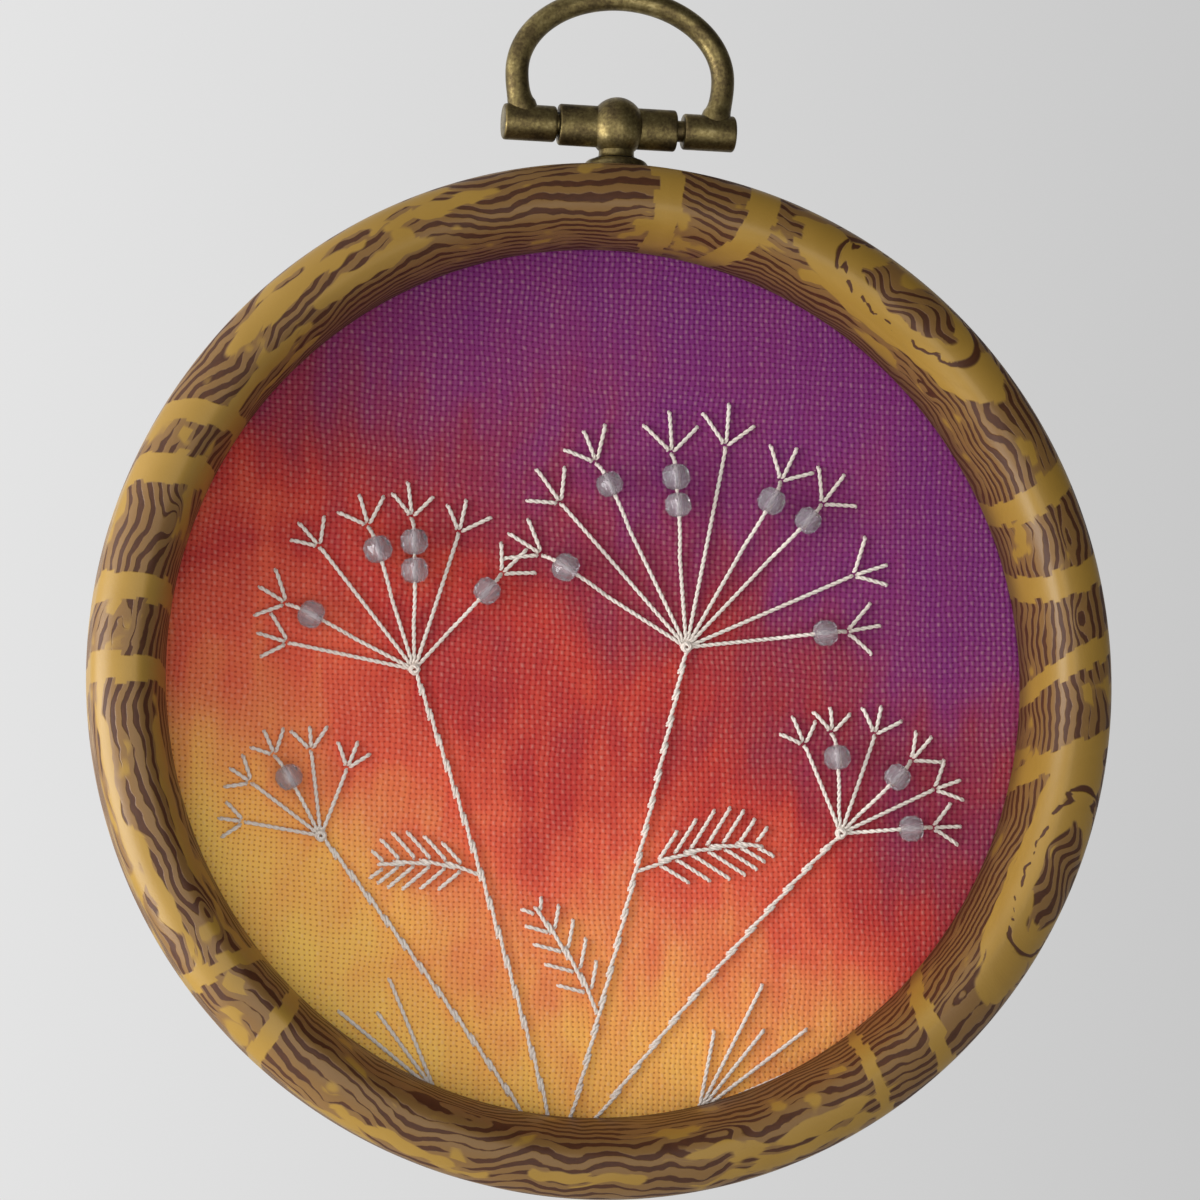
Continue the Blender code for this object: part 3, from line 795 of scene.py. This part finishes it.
    # the back took less dye
    behind = addNode(tree, "ShaderNodeAttribute", attribute_name="behind").outputs["Fac"]
    behindShare = addNode(tree, "ShaderNodeMath", {0: behind, 1: cloth["backShare"]}, operation="MULTIPLY")
    colour = addNode(tree, "ShaderNodeMix", {0: behindShare, 6: withHoleShade, 7: linear(cloth["backTint"])},
                     data_type="RGBA")
    relief = addNode(tree, "ShaderNodeMath", {0: crown, 1: side}, operation="MULTIPLY")
    sunk = addNode(tree, "ShaderNodeMath", {0: hole, 1: -0.9, 2: relief}, operation="MULTIPLY_ADD")
    bump = addNode(tree, "ShaderNodeBump", {"Height": sunk, "Strength": 0.55, "Distance": cloth["relief"]})
    feed(tree, shader, {"Base Color": colour, "Normal": bump})
    return material


clothPiece = newPiece("clothFace", clothMesh(), clothMaterial(), "hoop", "cotton", "cloth")
print("cloth made")


# Thread: two plies twisted round each other along every laid stitch

thread = {
    "plyR": 0.145 * mm,
    "plyOff": 0.095 * mm,
    "twist": 1.5 * mm,
    "step": 0.2 * mm,
    "sides": 6,
    "floatStep": 0.28 * mm,  # the thread behind is coarser, because little of it shows
    "floatSides": 5,
    "fibre": ("#CFC3B9", "#EDE5DC"),
    "handled": "#E6CFC2",
}


def threadTree():
    tree, given, result = newTree("twistedThread", [
        ("Ply radius", "NodeSocketFloat", thread["plyR"]),
        ("Ply offset", "NodeSocketFloat", thread["plyOff"]),
        ("Twist length", "NodeSocketFloat", thread["twist"]),
        ("Step", "NodeSocketFloat", thread["step"]),
        ("Sides", "NodeSocketInt", thread["sides"]),
        ("Material", "NodeSocketMaterial", None),
    ])
    lines = addNode(tree, "GeometryNodeMeshToCurve", {"Mesh": given.outputs["Geometry"]})
    evened = addNode(tree, "GeometryNodeResampleCurve", {"Curve": lines, "Length": given.outputs["Step"]},
                     mode="LENGTH")
    tangent = addNode(tree, "GeometryNodeInputTangent")
    normal = addNode(tree, "GeometryNodeInputNormal")
    sideways = addNode(tree, "ShaderNodeVectorMath", {0: tangent, 1: normal}, operation="CROSS_PRODUCT")
    travelled = addNode(tree, "GeometryNodeSplineParameter").outputs["Length"]
    turns = addNode(tree, "ShaderNodeMath", {0: travelled, 1: given.outputs["Twist length"]}, operation="DIVIDE")
    plies = []
    for start in (0.0, math.pi):
        turn = addNode(tree, "ShaderNodeMath", {0: turns, 1: 2 * math.pi, 2: start}, operation="MULTIPLY_ADD")
        cosine = addNode(tree, "ShaderNodeMath", {0: turn}, operation="COSINE")
        sine = addNode(tree, "ShaderNodeMath", {0: turn}, operation="SINE")
        one = addNode(tree, "ShaderNodeVectorMath", {0: normal, "Scale": cosine}, operation="SCALE")
        two = addNode(tree, "ShaderNodeVectorMath", {0: sideways, "Scale": sine}, operation="SCALE")
        both = addNode(tree, "ShaderNodeVectorMath", {0: one, 1: two}, operation="ADD")
        off = addNode(tree, "ShaderNodeVectorMath", {0: both, "Scale": given.outputs["Ply offset"]},
                      operation="SCALE")
        plies.append(addNode(tree, "GeometryNodeSetPosition", {"Geometry": evened, "Offset": off}))
    pair = addNode(tree, "GeometryNodeJoinGeometry", {"Geometry": plies})
    section = addNode(tree, "GeometryNodeCurvePrimitiveCircle",
                      {"Resolution": given.outputs["Sides"], "Radius": given.outputs["Ply radius"]})
    tube = addNode(tree, "GeometryNodeCurveToMesh", {"Curve": pair, "Profile Curve": section, "Fill Caps": True})
    endTree(tree, given, result, tube)
    return tree


def threadMaterial():
    # Cotton thread, two-ply and mercerised: off-white, a soft lustre, fine fibres along each ply
    material, tree, shader = newMaterial("twistedCottonThread", Roughness=0.62, IOR=1.5, Sheen_Weight=0.12,
                                         Sheen_Roughness=0.4, Specular_IOR_Level=0.3)
    spot = addNode(tree, "ShaderNodeTexCoord").outputs["Object"]
    fibre = addNode(tree, "ShaderNodeTexNoise", {"Vector": spot, "Scale": 5200.0, "Detail": 3.0, "Roughness": 0.7})
    soil = addNode(tree, "ShaderNodeTexNoise", {"Vector": spot, "Scale": 260.0, "Detail": 2.0})
    low, high = thread["fibre"]
    clean = addNode(tree, "ShaderNodeMix", {0: fibre, 6: linear(low), 7: linear(high)}, data_type="RGBA")
    tone = addNode(tree, "ShaderNodeMapRange", {"Value": soil, "From Min": 0.45, "From Max": 0.75, "To Max": 0.35})
    colour = addNode(tree, "ShaderNodeMix", {0: tone, 6: clean, 7: linear(thread["handled"])}, data_type="RGBA")
    bump = addNode(tree, "ShaderNodeBump", {"Height": fibre, "Strength": 0.4, "Distance": 0.03 * mm})
    feed(tree, shader, {"Base Color": colour, "Normal": bump})
    return material


def linesMesh(name, lines):  # each line's points joined by edges, in the row frame
    points, edges = [], []
    for line in lines:
        edges += [(len(points) + i, len(points) + i + 1) for i in range(len(line) - 1)]
        points += line
    return newMesh(name, points, edges)


def frontPlace(x, z, height):
    return hoopPlace + Vector((x * mm, cloth["frontY"] - height * mm, z * mm))


def backLine(a, b):  # a float behind the cloth, slack enough to bow a little
    steps = 8
    r = embroidery["threadR"]
    line = []
    for i in range(steps + 1):
        share = i / steps
        off = -0.06 if i in (0, steps) else r + 0.25 * math.sin(math.pi * share)
        y = cloth["frontY"] + cloth["thick"] + off * mm
        line.append(hoopPlace + Vector(((a[0] + (b[0] - a[0]) * share) * mm, y, (a[1] + (b[1] - a[1]) * share) * mm)))
    return line


twisted = threadTree()
cottonThread = threadMaterial()


def threadPiece(name, lines, **sizes):
    mesh = grownMesh(name, linesMesh(name + "Lines", lines), twisted, {"Material": cottonThread, **sizes})
    mesh.shade_smooth()
    return newPiece(name, mesh, cottonThread, "hoop", "thread")


stitchPiece = threadPiece("stitches", [[frontPlace(*point) for point in line] for line in stitches])
backLines = [backLine(a, b) for a, b in floats if math.dist(a, b) < embroidery["longestFloat"]]
floatPiece = threadPiece("threadFloats", backLines, Step=thread["floatStep"], Sides=thread["floatSides"])
print("stitches made:", len(stitches), "laid,", len(backLines), "floats,", len(stitchPiece.data.polygons), "faces")


# Beads: small faceted glass, threaded on the rays

bead = {
    # radius and place along the hole, in mm, from inside one end, round the outside, to inside the other
    "rows": [(0.36, -0.95), (0.56, -1.32), (1.05, -1.14), (1.46, -0.52), (1.46, 0.52), (1.05, 1.14),
             (0.56, 1.32), (0.36, 0.95)],
    "sides": 10,
    "spread": 0.05,
    "seed": 4,
    "glass": ("#CEC7D0", "#F3F0F4"),
}


def beadMesh():  # rows of facets, each row turned half a facet against the one before
    rows, sides = bead["rows"], bead["sides"]
    points, faces = [], []
    for number, (radius, along) in enumerate(rows):
        for i in range(sides):
            turn = 2 * math.pi * (i + 0.5 * (number % 2)) / sides
            points.append(Vector((radius * math.cos(turn), radius * math.sin(turn), along)) * mm)
    for number in range(len(rows)):
        low, high = number * sides, (number + 1) % len(rows) * sides
        for i in range(sides):
            j = (i + 1) % sides
            if number % 2:  # the diagonal changes from row to row, so that the facets mirror
                faces += [(low + i, low + j, high + j), (low + i, high + j, high + i)]
            else:
                faces += [(low + i, low + j, high + i), (low + j, high + j, high + i)]
    mesh = newMesh("beadShape", points, faces=faces)
    turnOutward(mesh)
    return mesh


def beadTree():
    tree, given, result = newTree("beadsOnThread", [
        ("Bead", "NodeSocketObject", None),
        ("Size spread", "NodeSocketFloat", bead["spread"]),
        ("Seed", "NodeSocketInt", bead["seed"]),
        ("Material", "NodeSocketMaterial", None),
    ])
    shape = addNode(tree, "GeometryNodeObjectInfo", {"Object": given.outputs["Bead"]}).outputs["Geometry"]
    heading = addNode(tree, "GeometryNodeInputNamedAttribute", {"Name": "heading"}, data_type="FLOAT_VECTOR")
    turned = addNode(tree, "FunctionNodeAlignRotationToVector", {"Vector": heading}, axis="Z")
    low = addNode(tree, "ShaderNodeMath", {0: 1.0, 1: given.outputs["Size spread"]}, operation="SUBTRACT")
    high = addNode(tree, "ShaderNodeMath", {0: 1.0, 1: given.outputs["Size spread"]}, operation="ADD")
    size = addNode(tree, "FunctionNodeRandomValue", {2: low, 3: high, "Seed": given.outputs["Seed"]},
                   data_type="FLOAT")
    placed = addNode(tree, "GeometryNodeInstanceOnPoints",
                     {"Points": given.outputs["Geometry"], "Instance": shape, "Rotation": turned, "Scale": size})
    endTree(tree, given, result, placed)
    return tree


def beadMaterial():
    # Soda glass, cut and polished, with milky clouds inside: clear grey-mauve that takes colour from the cloth
    material, tree, shader = newMaterial("cutSodaGlass", Roughness=0.12, IOR=1.5, Transmission_Weight=0.84)
    spot = addNode(tree, "ShaderNodeTexCoord").outputs["Object"]
    milk = addNode(tree, "ShaderNodeTexNoise", {"Vector": spot, "Scale": 330.0, "Detail": 2.0})
    low, high = bead["glass"]
    colour = addNode(tree, "ShaderNodeMix", {0: milk, 6: linear(low), 7: linear(high)}, data_type="RGBA")
    worn = addNode(tree, "ShaderNodeMapRange", {"Value": milk, "To Min": 0.04, "To Max": 0.16})
    feed(tree, shader, {"Base Color": colour, "Roughness": worn})
    return material


def beadPoints():
    mesh = newMesh("beadPoints", [frontPlace(x, z, embroidery["beadR"]) for x, z, _ in beads])
    heading = mesh.attributes.new("heading", "FLOAT_VECTOR", "POINT")
    for i, (_, _, deg) in enumerate(beads):
        heading.data[i].vector = (math.cos(math.radians(deg)), 0.0, math.sin(math.radians(deg)))
    return mesh


shapeHolder = addObject("beadShape", beadMesh())
glass = beadMaterial()
beadsMesh = grownMesh("beads", beadPoints(), beadTree(), {"Bead": shapeHolder, "Material": glass})
bpy.data.objects.remove(shapeHolder)
beadPiece = newPiece("beads", beadsMesh, glass, "hoop", "bead")
print("beads made:", len(beads))


# Hanger: cast and bent metal, plated and darkened

hanger = {
    "rodR": 1.25 * mm,
    "rodHalfWidth": 11.3 * mm,
    "widestAbovePin": 5.6 * mm,
    "footHalfWidth": 10.3 * mm,
    "footAbovePin": 0.8 * mm,
    "rodSteps": 110,
    "rodSides": 28,
    "footFlare": 0.35 * mm,  # the rod's foot is thicker where it was cast on
    "flareReach": 0.55 * mm,
    "sides": 48,
    "knuckleR": 1.95 * mm,
    "knuckleLength": 5.7 * mm,
    "pinR": 1.15 * mm,
    "pinLength": 3.0 * mm,
    "ball": (3.0 * mm, 3.3 * mm),  # half width and half height
    "sleeveR": 2.25 * mm,
    "sleeveFlat": 0.76,  # the sleeve's depth as a share of its height
    "boreR": 1.35 * mm,
    "boreDepth": 3.25 * mm,
    "neckR": 1.9 * mm,
    "neckFillet": 0.45 * mm,
    "rounding": 0.3 * mm,
    "flangeRim": 0.4 * mm,
    "flangeTopR": 2.5 * mm,
    "tones": [(0.42, "#352C1B"), (0.62, "#584B30"), (0.8, "#776942"), (0.95, "#93845A")],
}


def rodMesh():
    topZ = bailHigh.z - hanger["rodR"]
    widestZ = hingePlace.z + hanger["widestAbovePin"]
    halfWidth, foot = hanger["rodHalfWidth"], hanger["footHalfWidth"]
    footDeg = math.degrees(math.acos(foot / halfWidth))
    legHeight = (hanger["widestAbovePin"] - hanger["footAbovePin"]) / math.sin(math.radians(footDeg))
    steps, sides = hanger["rodSteps"], hanger["rodSides"]
    path = []
    for i in range(steps + 1):
        turn = math.radians(-footDeg + (180 + 2 * footDeg) * i / steps)
        height = topZ - widestZ if math.sin(turn) > 0 else legHeight
        path.append(Vector((halfWidth * math.cos(turn), 0, widestZ + height * math.sin(turn))))
    points = []
    for i, spot in enumerate(path):
        ahead = (path[min(i + 1, steps)] - path[max(i - 1, 0)]).normalized()
        side = ahead.cross(yAxis)
        above = max(0.0, spot.z - hingePlace.z - hanger["knuckleR"])
        radius = hanger["rodR"] + hanger["footFlare"] * math.exp(-above / hanger["flareReach"])
        for k in range(sides):
            turn = 2 * math.pi * k / sides
            points.append(spot + (side * math.cos(turn) + yAxis * math.sin(turn)) * radius)
    ends = [tuple(range(sides)), tuple(range(steps * sides, (steps + 1) * sides))]
    return cleaned(newMesh("rod", points, faces=gridFaces(steps + 1, sides, joinRows=False) + ends))


def knuckleMesh(side):
    e, r, pinR = hanger["rounding"], hanger["knuckleR"], hanger["pinR"]
    outer = bailHigh.x
    inner = outer - hanger["knuckleLength"]
    pinEnd = inner - hanger["pinLength"]
    outline = [(0, pinEnd), (pinR, pinEnd), (pinR, inner)]
    outline += arcPoints((r - e, inner + e), e, e, 270, 360, 5) + arcPoints((r - e, outer - e), e, e, 0, 90, 5)
    outline.append((0, outer))
    place = Vector((0, 0, hingePlace.z))
    return cleaned(turnedMesh("knuckle", outline, place, xAxis * side, zAxis, hanger["sides"]))


def barrelMesh():
    e, r, bore, sides = hanger["rounding"], hanger["sleeveR"], hanger["boreR"], hanger["sides"]
    half = (barrelHigh.x - barrelLow.x) / 2
    floor = half - hanger["boreDepth"]
    end = [(0, floor), (bore, floor), (bore, half)] + list(reversed(arcPoints((r - e, half - e), e, e, 0, 90, 5)))
    outline = end + [(radius, -along) for radius, along in reversed(end)]
    middle = Vector(((barrelLow.x + barrelHigh.x) / 2, 0, hingePlace.z))
    sleeve = turnedMesh("sleeve", outline, middle, xAxis, zAxis, sides)
    for vert in sleeve.vertices:
        if (vert.co - middle).yz.length > bore * 1.02:
            vert.co.y *= hanger["sleeveFlat"]
    width, height = hanger["ball"]
    ball = turnedMesh("ball", arcPoints((0, 0), width, height, -90, 90, 32), middle, zAxis, xAxis, sides)
    low = flangeHigh.z + 0.15 * mm - middle.z
    n, f = hanger["neckR"], hanger["neckFillet"]
    foot = arcPoints((n + f, low + f), f, f, 180, 270, 5)
    neck = turnedMesh("neck", [(0, -width / 2), (n, -width / 2)] + foot + [(0, low)], middle, zAxis, xAxis, sides)
    return joinedMesh("barrelBall", [cleaned(sleeve), cleaned(ball), cleaned(neck)])


def flangeMesh():
    low, high = flangeLow.z, flangeHigh.z
    radius = (flangeHigh.x - flangeLow.x) / 2
    rim, top = hanger["flangeRim"], hanger["flangeTopR"]
    outline = [(0, 0), (radius - 0.12 * mm, 0)] + arcPoints((radius - 0.15 * mm, 0.2 * mm), 0.15 * mm, 0.2 * mm,
                                                            -60, 60, 4)
    outline += arcPoints((top, rim), radius - 0.1 * mm - top, high - low - rim, 8, 90, 8) + [(0, high - low)]
    place = Vector((hoopPlace.x, 0, low))
    return cleaned(turnedMesh("flangeDome", outline, place, zAxis, xAxis, hanger["sides"]), 50)


def brassMaterial():
    # Zinc alloy, brass plated, then oxidised and lacquered: dark olive brown with rubbed gold where it is handled
    material, tree, shader = newMaterial("antiqueBrassPlate", Metallic=0.9, Roughness=0.36)
    spot = addNode(tree, "ShaderNodeTexCoord").outputs["Object"]
    rub = addNode(tree, "ShaderNodeTexNoise", {"Vector": spot, "Scale": 420.0, "Detail": 4.0, "Roughness": 0.65})
    speck = addNode(tree, "ShaderNodeTexNoise", {"Vector": spot, "Scale": 3200.0, "Detail": 2.0})
    rubbed = addNode(tree, "ShaderNodeMath", {0: speck, 1: 0.45, 2: rub}, operation="MULTIPLY_ADD")
    colour = addNode(tree, "ShaderNodeValToRGB", {0: rubbed}, stops=hanger["tones"])
    shine = addNode(tree, "ShaderNodeMapRange", {"Value": rubbed, "From Min": 0.4, "From Max": 0.95, "To Min": 0.52,
                                                 "To Max": 0.34})
    bump = addNode(tree, "ShaderNodeBump", {"Height": rubbed, "Strength": 0.3, "Distance": 0.05 * mm})
    feed(tree, shader, {"Base Color": colour, "Roughness": shine, "Normal": bump})
    return material


brass = brassMaterial()
bailMesh = joinedMesh("bailRing", [rodMesh(), knuckleMesh(-1), knuckleMesh(1)])
newPiece("bailRing", bailMesh, brass, "bail", "aged_brass", "bail")
newPiece("barrelBall", barrelMesh(), brass, "hoop", "aged_brass", "barrel")
newPiece("flangeDome", flangeMesh(), brass, "hoop", "aged_brass", "flange")
print("hanger made")


# Floor, light and camera

stage = {
    "floorZ": -0.62,
    "floorReach": 40.0,
    "floorBehind": 9.0,  # shorter behind the part, so that the camera, which looks up, sees none of it
    "floorPaint": "#E4E5E4",
    "azimuthDeg": -10.5,
    "elevationDeg": -4.82,
    "rollDeg": 1.42,
    "distance": 0.52,
    "lens": 146.0,
    "aim": (-0.8 * mm, 0.0, -63.9 * mm),
    "keyPlace": (-0.5, -0.085, -0.18),
    "keySize": 0.4,
    "keyPower": 4.2,
    "fillPlace": (-0.1, -0.95, -0.25),
    "fillSize": 0.8,
    "fillPower": 3.3,
    "surroundAhead": (1.5, 0.06),  # strength on the left and on the right of the surround in front
    "surroundBehind": (0.82, 0.5),
}


def makeFloor():
    reach, behind, z = stage["floorReach"], stage["floorBehind"], stage["floorZ"]
    corners = [(-reach, -reach, z), (reach, -reach, z), (reach, behind, z), (-reach, behind, z)]
    floor = addObject("floor", newMesh("floor", corners, faces=[(0, 1, 2, 3)]))
    # Board, painted: pale, matt and even
    material, _, _ = newMaterial("paintedBoard", Roughness=0.9, Base_Color=linear(stage["floorPaint"]))
    floor.data.materials.append(material)


def makeWorld():
    world = bpy.data.worlds.new("softSurround")
    bpy.context.scene.world = world
    world.use_nodes = True
    tree = world.node_tree
    towards = addNode(tree, "ShaderNodeTexCoord").outputs["Generated"]
    x, y, _ = addNode(tree, "ShaderNodeSeparateXYZ", {0: towards}).outputs
    # in front the surround is bright on the left and dark on the right; behind the part it is pale all over
    left, right = stage["surroundAhead"]
    ahead = addNode(tree, "ShaderNodeMapRange", {"Value": x, "From Min": -1.0, "From Max": 0.3, "To Min": left,
                                                 "To Max": right}, interpolation_type="SMOOTHSTEP")
    left, right = stage["surroundBehind"]
    rear = addNode(tree, "ShaderNodeMapRange", {"Value": x, "From Min": 0.0, "From Max": 0.4, "To Min": left,
                                                "To Max": right})
    turned = addNode(tree, "ShaderNodeMapRange", {"Value": y, "From Min": 0.1, "From Max": 0.7})
    strength = addNode(tree, "ShaderNodeMix", {0: turned, 2: ahead, 3: rear}, data_type="FLOAT")
    feed(tree, tree.nodes["Background"], {"Color": (1.0, 1.0, 1.0, 1.0), "Strength": strength})


def makeLight(name, place, size, power):
    lamp = bpy.data.lights.new(name, "AREA")
    lamp.size = size
    lamp.energy = power
    holder = addObject(name, lamp)
    holder.location = place
    holder.rotation_euler = (hoopPlace - Vector(place)).to_track_quat("-Z", "Y").to_euler()


def makeCamera():
    azimuth, elevation, roll = (math.radians(stage[k]) for k in ("azimuthDeg", "elevationDeg", "rollDeg"))
    back = Vector((math.sin(azimuth) * math.cos(elevation), -math.cos(azimuth) * math.cos(elevation),
                   math.sin(elevation)))
    level = (-back).cross(zAxis).normalized()
    rise = level.cross(-back)
    across = level * math.cos(roll) + rise * math.sin(roll)
    up = rise * math.cos(roll) - level * math.sin(roll)
    lens = bpy.data.cameras.new("camera")
    lens.lens = stage["lens"]
    lens.clip_start = 0.01
    holder = addObject("camera", lens)
    place = Vector(stage["aim"]) + back * stage["distance"]
    holder.matrix_world = Matrix.Translation(place) @ Matrix((across, up, back)).transposed().to_4x4()
    bpy.context.scene.camera = holder


makeFloor()
makeWorld()
for name in ("key", "fill"):
    makeLight(name + "Light", stage[name + "Place"], stage[name + "Size"], stage[name + "Power"])
makeCamera()
bpy.context.scene.view_settings.view_transform = "Standard"
print("stage made")
